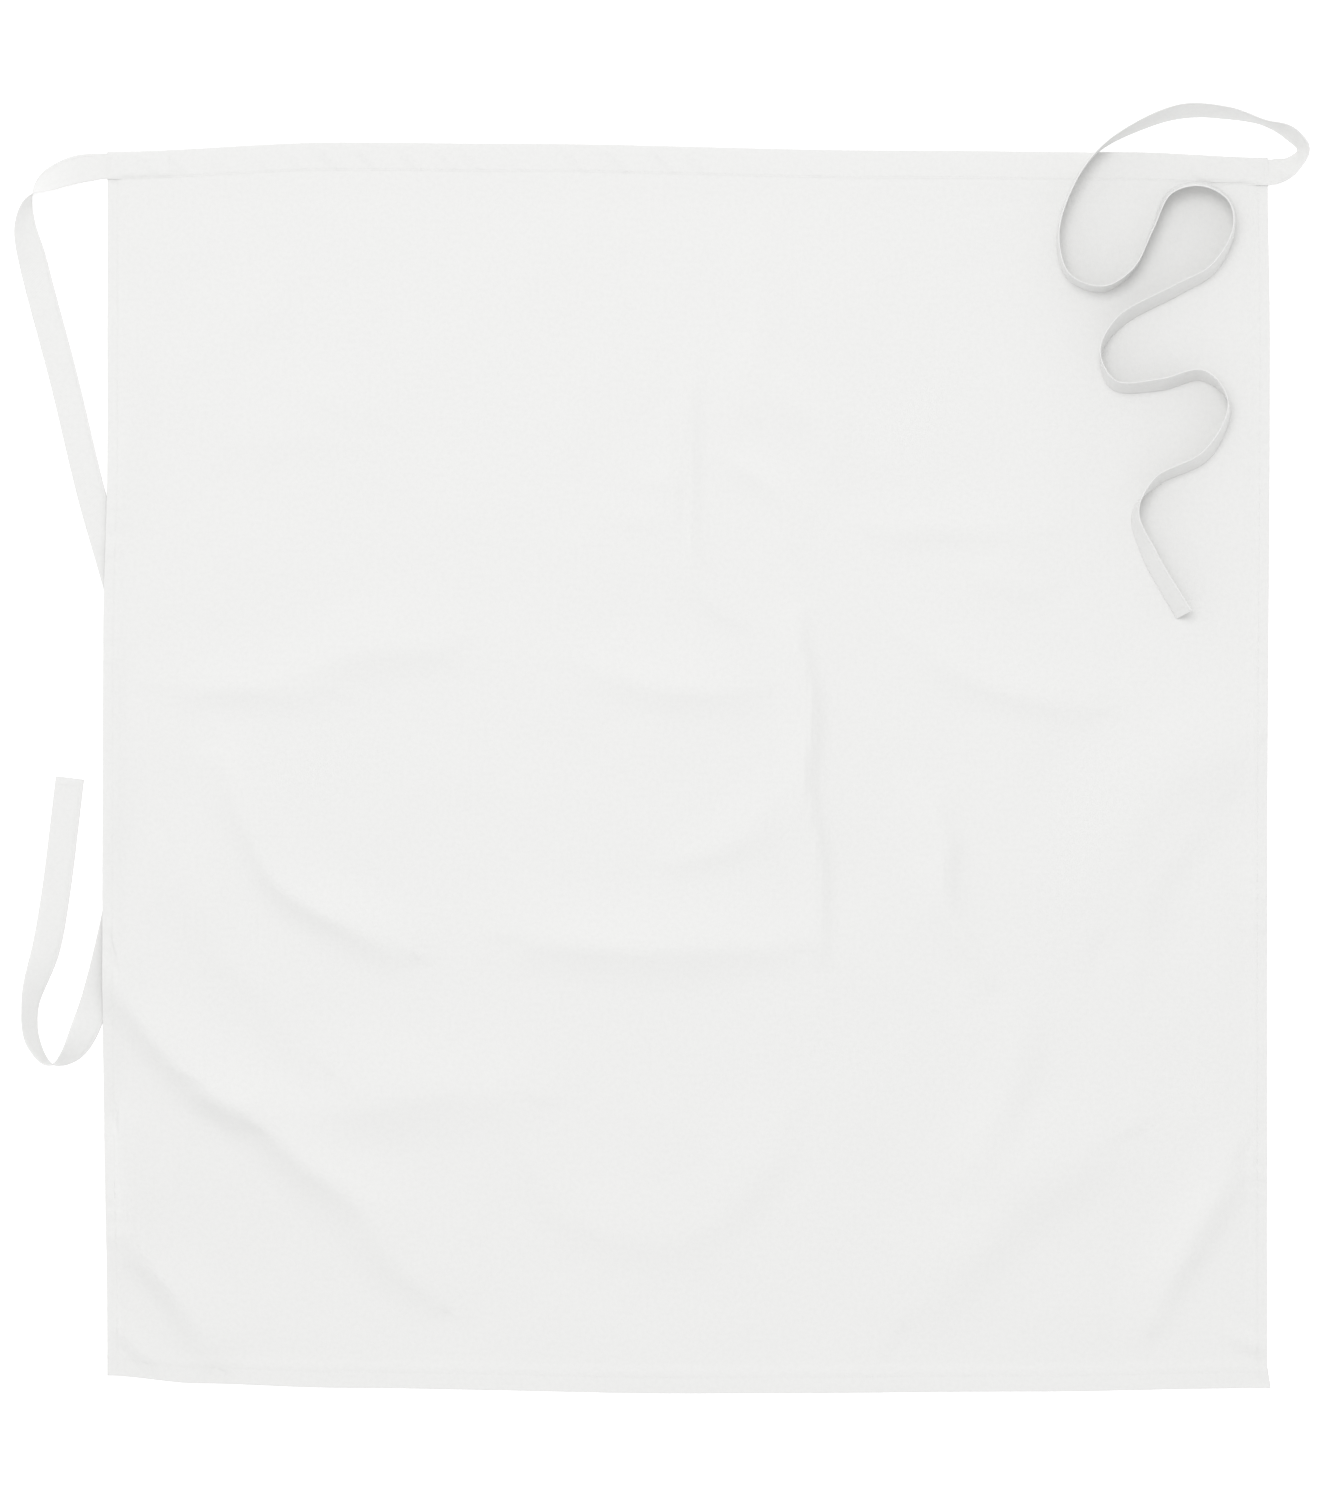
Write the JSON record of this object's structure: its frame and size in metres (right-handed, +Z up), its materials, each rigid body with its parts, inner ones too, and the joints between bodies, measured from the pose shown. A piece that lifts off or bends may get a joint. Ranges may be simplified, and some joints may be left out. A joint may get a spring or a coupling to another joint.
{
  "type": "waist apron",
  "caption": "Plain white waist apron with a folded waistband, turned hems and flat ties, lying flat with its ties loose.",
  "frame": {"origin": "the middle of the panel, on the surface that the apron lies on", "axes": "+Z up, out of the front of the cloth; +Y from the middle of the panel towards the waistband; +X to the right as the front is seen"},
  "size_m": [1.0338, 1.0297, 0.0279],
  "materials": {
    "apron_cloth": "matt white cotton twill",
    "tie_cloth": "matt white cotton twill, folded and pressed flat"
  },
  "bodies": {
    "root": {"apron_panel": "apron_cloth", "waistband": "apron_cloth", "left_side_hem": "apron_cloth", "right_side_hem": "apron_cloth", "bottom_hem": "apron_cloth", "left_tie": "tie_cloth", "right_tie": "tie_cloth"}
  },
  "joints": []
}
